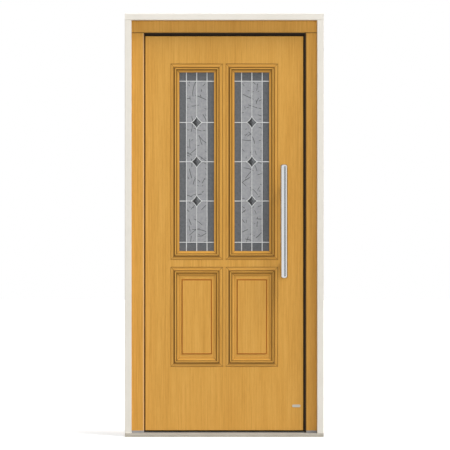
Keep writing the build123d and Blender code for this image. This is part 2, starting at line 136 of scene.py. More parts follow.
def startFinish(name, **sockets):  # a Principled shader with its constant sockets set
    material = bpy.data.materials.new(name)
    material.use_nodes = True
    shader = material.node_tree.nodes["Principled BSDF"]
    for socket, value in sockets.items():
        shader.inputs[socket.replace("_", " ")].default_value = value
    return material, material.node_tree, shader


def dress(material, *names):
    for name in names:
        slots = cadNodes[name].data.materials
        slots.clear()
        slots.append(material)


# Wood: a golden lacquered softwood, its grain upright, on the head too, and along each moulding

woodLook = {
    "dark": paint(190, 134, 52),
    "middle": paint(215, 160, 74),
    "light": paint(231, 179, 94),
    "stops": (0.28, 0.5, 0.72),  # tones of the three colours
    "pore": 0.86,  # share of the colour left in the pores
    "poreSpan": (0.62, 0.72),
    "figureScale": 11.0,
    "streakScale": 130.0,
    "fibreScale": 800.0,
    "poreScale": 1700.0,
    "figureShare": 0.2,
    "streakShare": 0.48,
    "fibreShare": 0.32,
    "along": 0.022,  # scale along the grain, which draws it out
    "roughness": (0.42, 0.56),
    "relief": {"strength": 0.22, "distance": 0.0003},
}


def uprightGrain(tree):
    return objectPlace(tree)


def levelGrain(tree):  # the board's length is X
    parts = splitParts(tree, objectPlace(tree))
    return addNode(tree, "ShaderNodeCombineXYZ", {0: parts[2], 1: parts[1], 2: parts[0]}).outputs[0]


def roomTo(tree, node):  # how far a point is inside the sides and the ends of a node's outline
    low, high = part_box(node)
    middle = (low + high) / 2
    half = (high - low) / 2
    parts = splitParts(tree, objectPlace(tree))
    eitherSide = calc(tree, "ABSOLUTE", parts[0])  # both columns share one finish
    across = calc(tree, "ABSOLUTE", calc(tree, "SUBTRACT", eitherSide, abs(middle.x)))
    upward = calc(tree, "ABSOLUTE", calc(tree, "SUBTRACT", parts[2], middle.z))
    return calc(tree, "SUBTRACT", half.x, across), calc(tree, "SUBTRACT", half.z, upward)


def mitredGrain(node):  # the grain turns at the mitres of a moulded frame
    def grain(tree):
        sideRoom, endRoom = roomTo(tree, node)
        isLevel = calc(tree, "LESS_THAN", endRoom, sideRoom)
        mixed = {0: isLevel, 4: uprightGrain(tree), 5: levelGrain(tree)}
        return addNode(tree, "ShaderNodeMix", mixed, data_type="VECTOR").outputs[1]

    return grain


# Painted shade in the grooves, cove and slopes of the mouldings, with dark lines at their mitre joints, and
# on the panels a painted shade line and a bevel painted paler as painted light, all measured in from a
# piece's outline
mouldingShadeAndMitre = {"colour": paint(104, 70, 24), "shadeLines": [
    {"place": 0.0012, "width": (0.0008, 0.0020), "strength": 0.45},  # groove at the outer edge
    {"place": 0.0172, "width": (0.0030, 0.0052), "strength": 0.42},  # cove
    {"place": 0.0208, "width": (0.0016, 0.0026), "strength": 0.92},  # outer quirk
    {"place": 0.0312, "width": (0.0012, 0.0020), "strength": 0.85},  # inner quirk
    {"place": 0.0350, "width": (0.0020, 0.0034), "strength": 0.32},  # inner slope
    {"place": 0.0467, "width": (0.0010, 0.0024), "strength": 0.4},  # sight edge
], "mitre": {"width": (0.0007, 0.0022), "strength": 0.7}}
# The colour is painted shade in the quirk round the field, and the bevel colour is painted light on the bevel
panelShadeAndLight = {"side": 0.0334, "end": 0.0412, "width": (0.0015, 0.0032), "strength": 0.92,
              "colour": paint(170, 94, 24),
              "bevel": paint(246, 190, 92), "bevelShare": 0.5, "bevelEdge": 0.003}


def lineMask(tree, room, place, width):  # 1 along a line at that place, 0 beside it
    return fade(tree, calc(tree, "ABSOLUTE", calc(tree, "SUBTRACT", room, place)), *width, 1.0, 0.0)


# Painted shade along a moulding's grooves, cove, slopes and sight edge, and a dark line at each mitre joint
def quirkShadeAndMitre(node):
    def stainShadeAndLight(tree, colour):
        sideRoom, endRoom = roomTo(tree, node)
        room = calc(tree, "MINIMUM", sideRoom, endRoom)
        mitre = mouldingShadeAndMitre["mitre"]
        found = calc(tree, "MULTIPLY", lineMask(tree, sideRoom, endRoom, mitre["width"]), mitre["strength"])
        # each of these lines is painted shade in a recess or on a slope
        for line in mouldingShadeAndMitre["shadeLines"]:
            drawn = lineMask(tree, room, line["place"], line["width"])
            found = calc(tree, "MAXIMUM", calc(tree, "MULTIPLY", drawn, line["strength"]), found)
        return mixColour(tree, found, colour, mouldingShadeAndMitre["colour"])

    return stainShadeAndLight


def fieldShadeAndLight(node):  # a painted shade line round a panel's field, and the bevel outside it painted paler, a painted light where the moulding's shadow falls
    def stainShadeAndLight(tree, colour):
        sideRoom, endRoom = roomTo(tree, node)
        fromSide = calc(tree, "SUBTRACT", sideRoom, panelShadeAndLight["side"])
        fromEnd = calc(tree, "SUBTRACT", endRoom, panelShadeAndLight["end"])
        inside = calc(tree, "MINIMUM", fromSide, fromEnd)
        # painted light: the bevel is lifted paler where the moulding shades it
        bevel = fade(tree, inside, -panelShadeAndLight["bevelEdge"], 0.0, panelShadeAndLight["bevelShare"], 0.0)
        colour = mixColour(tree, bevel, colour, panelShadeAndLight["bevel"])
        # painted shade in the quirk round the field
        line = lineMask(tree, inside, 0.0, panelShadeAndLight["width"])
        share = calc(tree, "MULTIPLY", line, panelShadeAndLight["strength"])
        return mixColour(tree, share, colour, panelShadeAndLight["colour"])

    return stainShadeAndLight


# Dark joints between the jambs and the head, and a painted highlight along the inner arris of the hinge jamb
frameStainAndHighlight = {
    "joint": {"width": (0.0016, 0.0028), "strength": 0.85, "colour": paint(104, 70, 24)},
    "arrisHighlight": {"width": (0.003, 0.009), "depth": 0.006, "strength": 0.42, "colour": paint(226, 200, 164)},
}


def jointStainAndHighlight(arrisHighlight=False):
    def stainShadeAndLight(tree, colour):
        across, inward, upward = splitParts(tree, objectPlace(tree))
        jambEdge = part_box("jamb_hinge_side")[1].x
        if arrisHighlight:
            # painted highlight: a pale line along the hinge jamb's rounded inner arris, near its front
            look = frameStainAndHighlight["arrisHighlight"]
            atFront = calc(tree, "LESS_THAN", inward, look["depth"])
            wearAndHighlight = calc(tree, "MULTIPLY", lineMask(tree, across, jambEdge, look["width"]), atFront)
            colour = mixColour(tree, calc(tree, "MULTIPLY", wearAndHighlight, look["strength"]), colour, look["colour"])
        look = frameStainAndHighlight["joint"]
        line = lineMask(tree, upward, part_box("frame_head")[0].z, look["width"])
        overJamb = calc(tree, "GREATER_THAN", calc(tree, "ABSOLUTE", across), -jambEdge)
        share = calc(tree, "MULTIPLY", calc(tree, "MULTIPLY", line, overJamb), look["strength"])
        return mixColour(tree, share, colour, look["colour"])

    return stainShadeAndLight


def woodFinish(name, grain, shift, stainShadeAndLight=None, lift=0.0):  # a lift below 0 is a darker board
    material, tree, shader = startFinish(name, Specular_IOR_Level=0.3, Coat_Weight=0.06, Coat_Roughness=0.3)
    place = grain(tree)
    drawn = stretched(tree, place, (1.0, 1.0, woodLook["along"]), shift)
    figure = noise(tree, drawn, woodLook["figureScale"], 2.0, 0.5, 0.4)
    streak = noise(tree, drawn, woodLook["streakScale"], 4.0, 0.6)
    fibre = noise(tree, drawn, woodLook["fibreScale"], 2.0, 0.6)
    pore = fade(tree, noise(tree, drawn, woodLook["poreScale"], 1.0), *woodLook["poreSpan"])
    tone = calc(tree, "MULTIPLY_ADD", figure, woodLook["figureShare"], lift)
    tone = calc(tree, "MULTIPLY_ADD", streak, woodLook["streakShare"], tone)
    tone = calc(tree, "MULTIPLY_ADD", fibre, woodLook["fibreShare"], tone)
    colours = (woodLook["dark"], woodLook["middle"], woodLook["light"])
    colour = colourRamp(tree, tone, list(zip(woodLook["stops"], colours)))
    poreShade = fade(tree, pore, 0.0, 1.0, 1.0, woodLook["pore"])
    shaded = addNode(tree, "ShaderNodeVectorMath", {0: colour, 3: poreShade}, operation="SCALE").outputs[0]
    # the hook paints dark joints, painted shade and painted light into the wood's colour
    if stainShadeAndLight:
        shaded = stainShadeAndLight(tree, shaded)
    feedColour(tree, shader, shaded)
    feedRoughness(tree, shader, fibre, woodLook["roughness"])
    feedRelief(tree, shader, calc(tree, "SUBTRACT", fibre, pore), woodLook["relief"])
    return material


def dressWood():
    leafWood = woodFinish("leaf_wood", uprightGrain, (0.0, 0.0, 0.0))
    jambShift = (3.1, 0.7, 0.4)
    hingeJambWood = woodFinish("hinge_jamb_wood", uprightGrain, jambShift, jointStainAndHighlight(arrisHighlight=True), -0.04)
    lockJambWood = woodFinish("lock_jamb_wood", uprightGrain, jambShift, jointStainAndHighlight(), -0.02)
    headWood = woodFinish("head_wood", uprightGrain, (5.3, 1.9, 0.8), jointStainAndHighlight(), -0.02)
    panelWood = woodFinish("panel_wood", uprightGrain, (7.7, 2.6, 0.3), fieldShadeAndLight("raised_panel_right"))
    light = "light_moulding_right"
    panel = "panel_moulding_right"
    lightBeadWood = woodFinish("light_bead_wood", mitredGrain(light), (9.2, 3.3, 0.6), quirkShadeAndMitre(light))
    panelBeadWood = woodFinish("panel_bead_wood", mitredGrain(panel), (11.4, 4.1, 0.9), quirkShadeAndMitre(panel))
    dress(leafWood, "leaf_outer_face", "leaf_core", "leaf_inner_face")
    dress(hingeJambWood, "jamb_hinge_side")
    dress(lockJambWood, "jamb_lock_side")
    dress(headWood, "frame_head")
    for column in ("left", "right"):
        dress(panelWood, f"raised_panel_{column}")
        dress(lightBeadWood, f"light_moulding_{column}", f"inner_light_moulding_{column}")
        dress(panelBeadWood, f"panel_moulding_{column}", f"inner_panel_moulding_{column}")


dressWood()
print("wood done")


# Paint, stone, plastic and rubber round the door

surroundLook = {"base": paint(237, 232, 222), "wearAndHighlight": paint(231, 226, 215), "stops": (0.35, 0.55),
                "brushScale": 420.0, "along": 0.03, "cloudScale": 9.0, "brushShare": 0.4,
                "roughness": (0.42, 0.58), "relief": {"strength": 0.12, "distance": 0.0003}}


def surroundFinish(name, grain):
    material, tree, shader = startFinish(name, Specular_IOR_Level=0.35)
    place = grain(tree)
    drawn = stretched(tree, place, (1.0, 1.0, surroundLook["along"]))
    brushed = noise(tree, drawn, surroundLook["brushScale"], 3.0)
    cloudy = noise(tree, place, surroundLook["cloudScale"], 3.0, 0.6)
    tone = blended(tree, brushed, cloudy, surroundLook["brushShare"])
    colours = (surroundLook["wearAndHighlight"], surroundLook["base"])
    feedColour(tree, shader, colourRamp(tree, tone, list(zip(surroundLook["stops"], colours))))
    feedRoughness(tree, shader, brushed, surroundLook["roughness"])
    feedRelief(tree, shader, brushed, surroundLook["relief"])
    return material


stoneLook = {"dark": paint(172, 165, 152), "base": paint(186, 179, 166), "pale": paint(195, 189, 177),
             "stops": (0.34, 0.5, 0.68), "speckleScale": 620.0, "cloudScale": 14.0, "speckleShare": 0.65,
             "topShade": paint(140, 137, 130), "topShadeShare": 0.7, "topShadeSpan": (0.3, 0.9),
             "roughness": (0.6, 0.78), "relief": {"strength": 0.35, "distance": 0.0006}}


def stoneFinish():  # its up-facing top painted darker, a painted shade
    material, tree, shader = startFinish("sill_stone", Specular_IOR_Level=0.3)
    place = objectPlace(tree)
    speckle = noise(tree, place, stoneLook["speckleScale"], 4.0, 0.7)
    cloud = noise(tree, place, stoneLook["cloudScale"], 3.0)
    tone = blended(tree, speckle, cloud, stoneLook["speckleShare"])
    colours = (stoneLook["dark"], stoneLook["base"], stoneLook["pale"])
    colour = colourRamp(tree, tone, list(zip(stoneLook["stops"], colours)))
    # painted shade: the faces that look up are painted darker
    upward = normalParts(tree)[2]
    topShade = fade(tree, upward, *stoneLook["topShadeSpan"], 0.0, stoneLook["topShadeShare"])
    feedColour(tree, shader, mixColour(tree, topShade, colour, stoneLook["topShade"]))
    feedRoughness(tree, shader, cloud, stoneLook["roughness"])
    feedRelief(tree, shader, speckle, stoneLook["relief"])
    return material


plasticLook = {"base": paint(158, 157, 158), "dark": paint(146, 146, 148), "grainScale": 1500.0,
               "roughness": (0.45, 0.6), "relief": {"strength": 0.15, "distance": 0.0002}}


def plasticFinish():
    material, tree, shader = startFinish("foot_plastic", Specular_IOR_Level=0.4)
    grainy = noise(tree, objectPlace(tree), plasticLook["grainScale"], 2.0)
    colour = colourRamp(tree, grainy, [(0.35, plasticLook["dark"]), (0.6, plasticLook["base"])])
    feedColour(tree, shader, colour)
    feedRoughness(tree, shader, grainy, plasticLook["roughness"])
    feedRelief(tree, shader, grainy, plasticLook["relief"])
    return material


rubberLook = {"base": paint(44, 36, 26), "bloom": paint(60, 50, 38), "bloomScale": 60.0,
              "roughness": (0.55, 0.75)}


def rubberFinish():
    material, tree, shader = startFinish("seal_rubber", Specular_IOR_Level=0.25)
    bloom = noise(tree, objectPlace(tree), rubberLook["bloomScale"], 4.0, 0.6)
    colour = colourRamp(tree, bloom, [(0.45, rubberLook["base"]), (0.75, rubberLook["bloom"])])
    feedColour(tree, shader, colour)
    feedRoughness(tree, shader, bloom, rubberLook["roughness"])
    return material


def dressSurround():
    upright = surroundFinish("surround_paint_upright", uprightGrain)
    level = surroundFinish("surround_paint_level", levelGrain)
    dress(upright, "surround_left", "surround_right")
    dress(level, "surround_head")
    dress(stoneFinish(), "sill")
    dress(plasticFinish(), "jamb_foot_left", "jamb_foot_right")
    dress(rubber, "leaf_seal", "bottom_seal", "frame_gasket")


rubber = rubberFinish()
dressSurround()
print("surround, sill and seals done")


# Metals: brushed along the length of the piece

metalLook = {
    "barSteel": {"bright": paint(221, 224, 225), "dull": paint(212, 215, 216),
                 "drawn": (1.0, 1.0, 0.02), "roughness": (0.13, 0.19)},
    "plateSteel": {"bright": paint(210, 208, 198), "dull": paint(192, 190, 181),
                   "drawn": (0.03, 1.0, 1.0), "roughness": (0.34, 0.46)},
    "leverSteel": {"bright": paint(186, 185, 182), "dull": paint(166, 165, 162),
                   "drawn": (0.03, 1.0, 1.0), "roughness": (0.26, 0.38)},
    "lockSteel": {"bright": paint(182, 181, 178), "dull": paint(160, 159, 156),
                  "drawn": (1.0, 1.0, 0.02), "roughness": (0.3, 0.42)},
    "hingeSteel": {"bright": paint(184, 183, 180), "dull": paint(162, 161, 158),
                   "drawn": (1.0, 1.0, 0.05), "roughness": (0.28, 0.4)},
    "thresholdMetal": {"bright": paint(160, 163, 163), "dull": paint(145, 148, 148),
                       "drawn": (0.02, 1.0, 1.0), "roughness": (0.34, 0.48)},
}
brushLook = {"scale": 900.0, "stainScale": 18.0, "brushShare": 0.7, "stops": (0.32, 0.62), "distance": 0.0002}


def metalFinish(name, look, relief=0.06):
    material, tree, shader = startFinish(name, Metallic=1.0)
    place = objectPlace(tree)
    brushed = noise(tree, stretched(tree, place, look["drawn"]), brushLook["scale"], 3.0, 0.6)
    stainShadeAndLight = noise(tree, place, brushLook["stainScale"], 3.0)
    tone = blended(tree, brushed, stainShadeAndLight, brushLook["brushShare"])
    colours = (look["dull"], look["bright"])
    feedColour(tree, shader, colourRamp(tree, tone, list(zip(brushLook["stops"], colours))))
    feedRoughness(tree, shader, brushed, look["roughness"])
    feedRelief(tree, shader, brushed, {"strength": relief, "distance": brushLook["distance"]})
    return material


metals = {
    "barSteel": metalFinish("bar_steel", metalLook["barSteel"], relief=0.02),
    "plateSteel": metalFinish("plate_steel", metalLook["plateSteel"]),
    "leverSteel": metalFinish("lever_steel", metalLook["leverSteel"]),
    "lockSteel": metalFinish("lock_steel", metalLook["lockSteel"]),
    "hingeSteel": metalFinish("hinge_steel", metalLook["hingeSteel"]),
    "thresholdMetal": metalFinish("threshold_metal", metalLook["thresholdMetal"]),
}
dress(metals["barSteel"], "pull_bar", "pull_bar_post_upper", "pull_bar_post_lower")
dress(metals["leverSteel"], "lever_rose", "lever_handle")
dress(metals["lockSteel"], "lock_faceplate", "lock_bolts", "strike_plates")
dress(metals["hingeSteel"], "hinge_frame_halves", "hinge_leaf_halves")
dress(metals["thresholdMetal"], "threshold")
print("metals done")


# Leaded lights: pale lead, a border painted dark grey as painted shade of the room behind clear glass, a
# streaky centre and bevelled diamonds

# The edge colour is painted shade on the sloped sides of the cames
leadLook = {"bright": paint(226, 227, 227), "dull": paint(200, 201, 201), "stops": (0.34, 0.56),
            "edge": paint(118, 119, 121), "edgeSpan": (0.8, 0.96),  # how far a face looks outward
            "tarnishScale": 55.0, "scuffScale": 700.0, "scuffShare": 0.3,
            "roughness": (0.4, 0.58), "relief": {"strength": 0.12, "distance": 0.0002}}


def leadFinish():  # pale lead on the flat of the cames, and a painted shade on their sloped edges
    material, tree, shader = startFinish("came_lead", Metallic=0.2, Specular_IOR_Level=0.4)
    place = objectPlace(tree)
    tarnish = noise(tree, place, leadLook["tarnishScale"], 4.0, 0.65)
    scuff = noise(tree, place, leadLook["scuffScale"], 2.0)
    tone = blended(tree, scuff, tarnish, leadLook["scuffShare"])
    colour = colourRamp(tree, tone, list(zip(leadLook["stops"], (leadLook["dull"], leadLook["bright"]))))
    outward = calc(tree, "ABSOLUTE", normalParts(tree)[1])
    isFlat = fade(tree, outward, *leadLook["edgeSpan"])
    # painted shade on faces turned away from the front
    feedColour(tree, shader, mixColour(tree, isFlat, leadLook["edge"], colour))
    feedRoughness(tree, shader, tarnish, leadLook["roughness"])
    feedRelief(tree, shader, scuff, leadLook["relief"])
    return material


glassStops = (0.32, 0.62)  # tones of the deep and the pale colour of the border and the centre
borderLook = {"pale": paint(101, 103, 106), "deep": paint(88, 90, 93), "mottleScale": 85.0,
              "roughness": (0.1, 0.2), "relief": {"strength": 0.1, "distance": 0.002}}


def borderGlassFinish():
    # the dark grey is painted shade: the unlit room seen through clear border glass
    material, tree, shader = startFinish("border_glass", Specular_IOR_Level=0.35, IOR=1.5)
    place = objectPlace(tree)
    mottle = noise(tree, place, borderLook["mottleScale"], 3.0, 0.6, 0.6)
    colours = (borderLook["deep"], borderLook["pale"])
    feedColour(tree, shader, colourRamp(tree, mottle, list(zip(glassStops, colours))))
    feedRoughness(tree, shader, mottle, borderLook["roughness"])
    feedRelief(tree, shader, mottle, borderLook["relief"])
    return material


centreLook = {
    "pale": paint(161, 162, 164),
    "deep": paint(146, 147, 150),
    "stroke": paint(58, 59, 62),
    "strokeShare": 0.9,
    "strokeDip": 0.8,  # how deep a stroke lies in the relief
    "cloudScale": 70.0,
    "strokes": [  # cells a metre, half length and half width of a stroke, and the share of cells with one
        {"cells": 12.0, "shift": (0.0, 0.0, 0.0),
         "half": (0.018, 0.044), "wide": (0.0006, 0.0026), "share": 0.9},
        {"cells": 17.0, "shift": (4.0, 7.0, 0.0),
         "half": (0.010, 0.030), "wide": (0.0005, 0.0023), "share": 0.8},
        {"cells": 34.0, "shift": (9.0, 2.0, 0.0),
         "half": (0.001, 0.008), "wide": (0.0006, 0.0024), "share": 0.45},
    ],
    "taper": 0.004,  # length of a stroke's faded end
    "bend": 10.0,
    "waver": 0.008,
    "waverScale": 30.0,
    "roughness": (0.14, 0.26),
    "relief": {"strength": 0.12, "distance": 0.0015},
}


def strokeSet(tree, flat, look):  # one slightly bent stroke in each cell, turned its own way
    moved = stretched(tree, flat, (1.0, 1.0, 1.0), look["shift"])
    cell = addNode(tree, "ShaderNodeTexVoronoi", {"Vector": moved, "Scale": look["cells"]},
                   voronoi_dimensions="2D").outputs
    draw = splitParts(tree, cell["Color"])
    fromMiddle = addNode(tree, "ShaderNodeVectorMath", {0: moved, 1: cell["Position"]},
                         operation="SUBTRACT").outputs[0]
    turn = calc(tree, "MULTIPLY", draw[0], math.pi)
    turned = addNode(tree, "ShaderNodeVectorRotate", {"Vector": fromMiddle, "Angle": turn},
                     rotation_type="Z_AXIS").outputs[0]
    across, along, _ = splitParts(tree, turned)
    bend = calc(tree, "MULTIPLY", calc(tree, "SUBTRACT", draw[1], 0.5), centreLook["bend"])
    across = calc(tree, "MULTIPLY_ADD", calc(tree, "MULTIPLY", along, along), bend, across)
    line = lineMask(tree, across, 0.0, look["wide"])
    reach = fade(tree, draw[2], 0.0, 1.0, *look["half"])
    spare = calc(tree, "SUBTRACT", reach, calc(tree, "ABSOLUTE", along))
    drawn = calc(tree, "MULTIPLY", line, fade(tree, spare, 0.0, centreLook["taper"]))
    return calc(tree, "MULTIPLY", drawn, calc(tree, "LESS_THAN", draw[1], look["share"]))


def centreGlassFinish():
    material, tree, shader = startFinish("centre_glass", Specular_IOR_Level=0.35, IOR=1.5)
    place = objectPlace(tree)
    cloud = noise(tree, place, centreLook["cloudScale"], 4.0, 0.65)
    colour = colourRamp(tree, cloud, list(zip(glassStops, (centreLook["deep"], centreLook["pale"]))))
    parts = splitParts(tree, place)
    waver = calc(tree, "MULTIPLY", noise(tree, place, centreLook["waverScale"], 1.0), centreLook["waver"])
    across = calc(tree, "ADD", parts[0], waver)
    flat = addNode(tree, "ShaderNodeCombineXYZ", {0: across, 1: parts[2]}).outputs[0]
    strokes = 0.0
    for look in centreLook["strokes"]:
        strokes = calc(tree, "MAXIMUM", strokeSet(tree, flat, look), strokes)
    share = calc(tree, "MULTIPLY", strokes, centreLook["strokeShare"])
    feedColour(tree, shader, mixColour(tree, share, colour, centreLook["stroke"]))
    feedRoughness(tree, shader, cloud, centreLook["roughness"])
    height = calc(tree, "MULTIPLY_ADD", strokes, -centreLook["strokeDip"], cloud)
    feedRelief(tree, shader, height, centreLook["relief"])
    return material


# Painted shade on the facets facing the hinge side, and painted light on those facing the lock side
diamondLook = {"shade": paint(38, 39, 41), "lit": paint(100, 102, 104), "litSpan": (-0.16, 0.16),
               "streakScale": 120.0, "streakShare": 0.12, "roughness": (0.06, 0.14)}


def diamondGlassFinish():  # the facets towards the lock side are painted lighter than the others: painted light and painted shade by facing
    material, tree, shader = startFinish("diamond_glass", Specular_IOR_Level=0.5, IOR=1.52)
    sideways = normalParts(tree)[0]
    streak = noise(tree, objectPlace(tree), diamondLook["streakScale"], 2.0)
    uneven = calc(tree, "SUBTRACT", streak, 0.5)
    facing = calc(tree, "MULTIPLY_ADD", uneven, diamondLook["streakShare"], sideways)
    isLit = fade(tree, facing, *diamondLook["litSpan"])
    feedColour(tree, shader, mixColour(tree, isLit, diamondLook["shade"], diamondLook["lit"]))
    feedRoughness(tree, shader, streak, diamondLook["roughness"])
    return material


paneLook = {"deep": paint(232, 240, 237), "pale": paint(242, 247, 245), "rippleScale": 7.0,
            "roughness": (0.0, 0.03)}


def paneGlassFinish():
    material, tree, shader = startFinish("pane_glass", Transmission_Weight=1.0, IOR=1.5)
    ripple = noise(tree, objectPlace(tree), paneLook["rippleScale"], 1.0)
    colours = (paneLook["deep"], paneLook["pale"])
    feedColour(tree, shader, colourRamp(tree, ripple, list(zip(noiseSpan, colours))))
    feedRoughness(tree, shader, ripple, paneLook["roughness"])
    return material


lead = leadFinish()


def dressLights():
    border = borderGlassFinish()
    centre = centreGlassFinish()
    diamond = diamondGlassFinish()
    pane = paneGlassFinish()
    for column in ("left", "right"):
        dress(lead, f"light_cames_{column}")
        dress(border, f"light_border_glass_{column}")
        dress(centre, f"light_centre_glass_{column}")
        dress(diamond, f"light_diamonds_{column}")
        dress(pane, f"light_pane_{column}")


dressLights()
print("leaded lights done")


# New pieces

def addPiece(name, mesh, material, body, smooth=False):
    bmesh.ops.recalc_face_normals(mesh, faces=mesh.faces)
    data = bpy.data.meshes.new(name)
    mesh.to_mesh(data)
    mesh.free()
    for face in data.polygons:
        face.use_smooth = smooth
    data.materials.append(material)
    piece = bpy.data.objects.new(name, data)
    scene.collection.objects.link(piece)
    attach(piece, body)
    return piece


# The pull bar, with its ends well rounded
roundBar = {"spare": 0.0015, "endRound": 0.0125, "sides": 72, "steps": 10}


def addRoundBar():
    low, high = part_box("pull_bar")
    middle = (low + high) / 2
    radius = (high.x - low.x) / 2 + roundBar["spare"]
    length = high.z - low.z + 2 * roundBar["spare"]
    mesh = bmesh.new()
    bmesh.ops.create_cone(mesh, cap_ends=True, segments=roundBar["sides"],
                          radius1=radius, radius2=radius, depth=length)
    rims = [edge for edge in mesh.edges if abs(edge.verts[0].co.z - edge.verts[1].co.z) < length / 2]
    bmesh.ops.bevel(mesh, geom=rims, offset=roundBar["endRound"], offset_type="OFFSET", affect="EDGES",
                    segments=roundBar["steps"], profile=0.5, material=-1)
    bmesh.ops.translate(mesh, vec=middle, verts=mesh.verts)
    bar = addPiece("round_pull_bar", mesh, metals["barSteel"], "door_leaf", smooth=True)
    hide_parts("pull_bar")


addRoundBar()


# A bare plate low on the lock side of the leaf
plate = {"x": 0.381, "z": 0.161, "width": 0.044, "height": 0.014, "thick": 0.0016,
         "cornerShare": 0.45, "cornerSteps": 6, "rim": 0.0014, "sink": 0.0004}


def addPlate():
    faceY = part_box("leaf_outer_face")[0].y
    mesh = bmesh.new()
    bmesh.ops.create_cube(mesh, size=1.0)
    bmesh.ops.scale(mesh, vec=(plate["width"], plate["thick"], plate["height"]), verts=mesh.verts)
    corners = [edge for edge in mesh.edges
               if abs(edge.verts[0].co.y - edge.verts[1].co.y) > plate["thick"] / 2]
    bmesh.ops.bevel(mesh, geom=corners, offset=plate["height"] * plate["cornerShare"], offset_type="OFFSET",
                    affect="EDGES", segments=plate["cornerSteps"], profile=0.5, material=-1)
    front = min(mesh.faces, key=lambda face: face.calc_center_median().y)
    bmesh.ops.inset_region(mesh, faces=[front], thickness=plate["rim"], depth=0.0)
    bmesh.ops.translate(mesh, vec=(0.0, plate["sink"], 0.0), verts=front.verts)
    bmesh.ops.translate(mesh, vec=(plate["x"], faceY - plate["thick"] / 2, plate["z"]), verts=mesh.verts)
    addPiece("bare_plate", mesh, metals["plateSteel"], "door_leaf")


addPlate()


# A lip under the bottom seal, just clear of the threshold
bottomLip = {
    "section": [(0.0520, 0.0285), (0.0480, 0.0285), (0.0436, 0.0240), (0.0448, 0.0238), (0.0512, 0.0268)],
    "endGap": 0.002,
}


def addBottomLip():
    low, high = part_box("bottom_seal")
    mesh = bmesh.new()
    left = low.x + bottomLip["endGap"]
    section = mesh.faces.new([mesh.verts.new((left, y, z)) for y, z in bottomLip["section"]])
    grown = bmesh.ops.extrude_face_region(mesh, geom=[section], use_keep_orig=True)["geom"]
    ends = [part for part in grown if isinstance(part, bmesh.types.BMVert)]
    bmesh.ops.translate(mesh, vec=(high.x - bottomLip["endGap"] - left, 0.0, 0.0), verts=ends)
    addPiece("bottom_lip", mesh, rubber, "door_leaf")


addBottomLip()


# Solder at each joint of the cames
solder = {"radius": 0.0046, "rise": 0.0009, "around": 14, "upDown": 8,
          "columnStep": 0.0545, "rowStep": 0.208, "endRow": 0.4265,
          "diamondWide": 0.0275, "diamondTall": 0.031}


def solderPlaces():
    columns = (-solder["columnStep"], 0.0, solder["columnStep"])
    for up in (-solder["endRow"], solder["endRow"]):
        for across in columns:
            yield across, up
    beside = (-solder["columnStep"], -solder["diamondWide"], solder["diamondWide"], solder["columnStep"])
    for up in (-solder["rowStep"], 0.0, solder["rowStep"]):
        for across in beside:
            yield across, up
        for rise in (-solder["diamondTall"], solder["diamondTall"]):
            yield 0.0, up + rise


def addSolder(column):
    low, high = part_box(f"light_cames_{column}")
    middle = (low + high) / 2
    mesh = bmesh.new()
    for across, up in solderPlaces():
        made = bmesh.ops.create_uvsphere(mesh, u_segments=solder["around"], v_segments=solder["upDown"],
                                         radius=solder["radius"])
        bmesh.ops.scale(mesh, vec=(1.0, solder["rise"] / solder["radius"], 1.0), verts=made["verts"])
        bmesh.ops.translate(mesh, vec=(middle.x + across, low.y, middle.z + up), verts=made["verts"])
    addPiece(f"solder_joints_{column}", mesh, lead, "door_leaf", smooth=True)


addSolder("left")
addSolder("right")


# Six-lobed screw heads in the hinges, the strike plates and the faceplate
screw = {"radius": 0.0042, "rise": 0.0006, "sides": 36, "topShare": 0.86,
         "socket": 0.0017, "depth": 0.0012, "lobes": 6, "lobe": 0.16, "floorShare": 0.94}


def addScrewHead(mesh, place, outward):
    made = bmesh.ops.create_circle(mesh, cap_ends=True, radius=screw["radius"], segments=screw["sides"])
    face = made["verts"][0].link_faces[0]
    head = set(made["verts"])

    def step(size, lift, lobe=0.0):
        bmesh.ops.inset_region(mesh, faces=[face], thickness=0.0)
        head.update(face.verts)
        for vert in face.verts:
            turn = math.atan2(vert.co.y, vert.co.x)
            reach = size * (1.0 + lobe * math.cos(screw["lobes"] * turn))
            vert.co = Vector((reach * math.cos(turn), reach * math.sin(turn), lift))

    step(screw["radius"], screw["rise"] * 0.5)
    step(screw["radius"] * screw["topShare"], screw["rise"])
    step(screw["socket"], screw["rise"], screw["lobe"])
    step(screw["socket"] * screw["floorShare"], screw["rise"] - screw["depth"], screw["lobe"])
    turnTo = Vector((0.0, 0.0, 1.0)).rotation_difference(Vector(outward)).to_matrix().to_4x4()
    bmesh.ops.transform(mesh, matrix=Matrix.Translation(place) @ turnTo, verts=list(head))


def addScrews(name, body, metal, places, outward):
    mesh = bmesh.new()
    for place in places:
        addScrewHead(mesh, place, outward)
    addPiece(name, mesh, metals[metal], body)


hingeScrews = {"plate": 0.004, "plateHalf": 0.025, "leafInset": (0.009, 0.028), "leafStep": 0.015,
               "frameInset": 0.0055, "frameStep": (0.02, 0.05)}


def threeHeights(low, high, inset):  # the heights of three like pieces in one node
    return (low.z + inset, (low.z + high.z) / 2, high.z - inset)


def addHingeScrews():
    low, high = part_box("hinge_leaf_halves")
    heights = threeHeights(low, high, hingeScrews["plateHalf"])
    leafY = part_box("leaf_inner_face")[1].y + hingeScrews["plate"]
    leafPlaces = [(high.x - inset, leafY, height + end * hingeScrews["leafStep"])
                  for height in heights for inset in hingeScrews["leafInset"] for end in (-1, 1)]
    addScrews("hinge_leaf_screws", "door_leaf", "hingeSteel", leafPlaces, (0, 1, 0))
    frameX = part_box("hinge_frame_halves")[0].x + hingeScrews["frameInset"]
    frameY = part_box("jamb_hinge_side")[1].y + hingeScrews["plate"]
    framePlaces = [(frameX, frameY, height + end * step)
                   for height in heights for step in hingeScrews["frameStep"] for end in (-1, 1)]
    addScrews("hinge_frame_screws", "door_frame", "hingeSteel", framePlaces, (0, 1, 0))


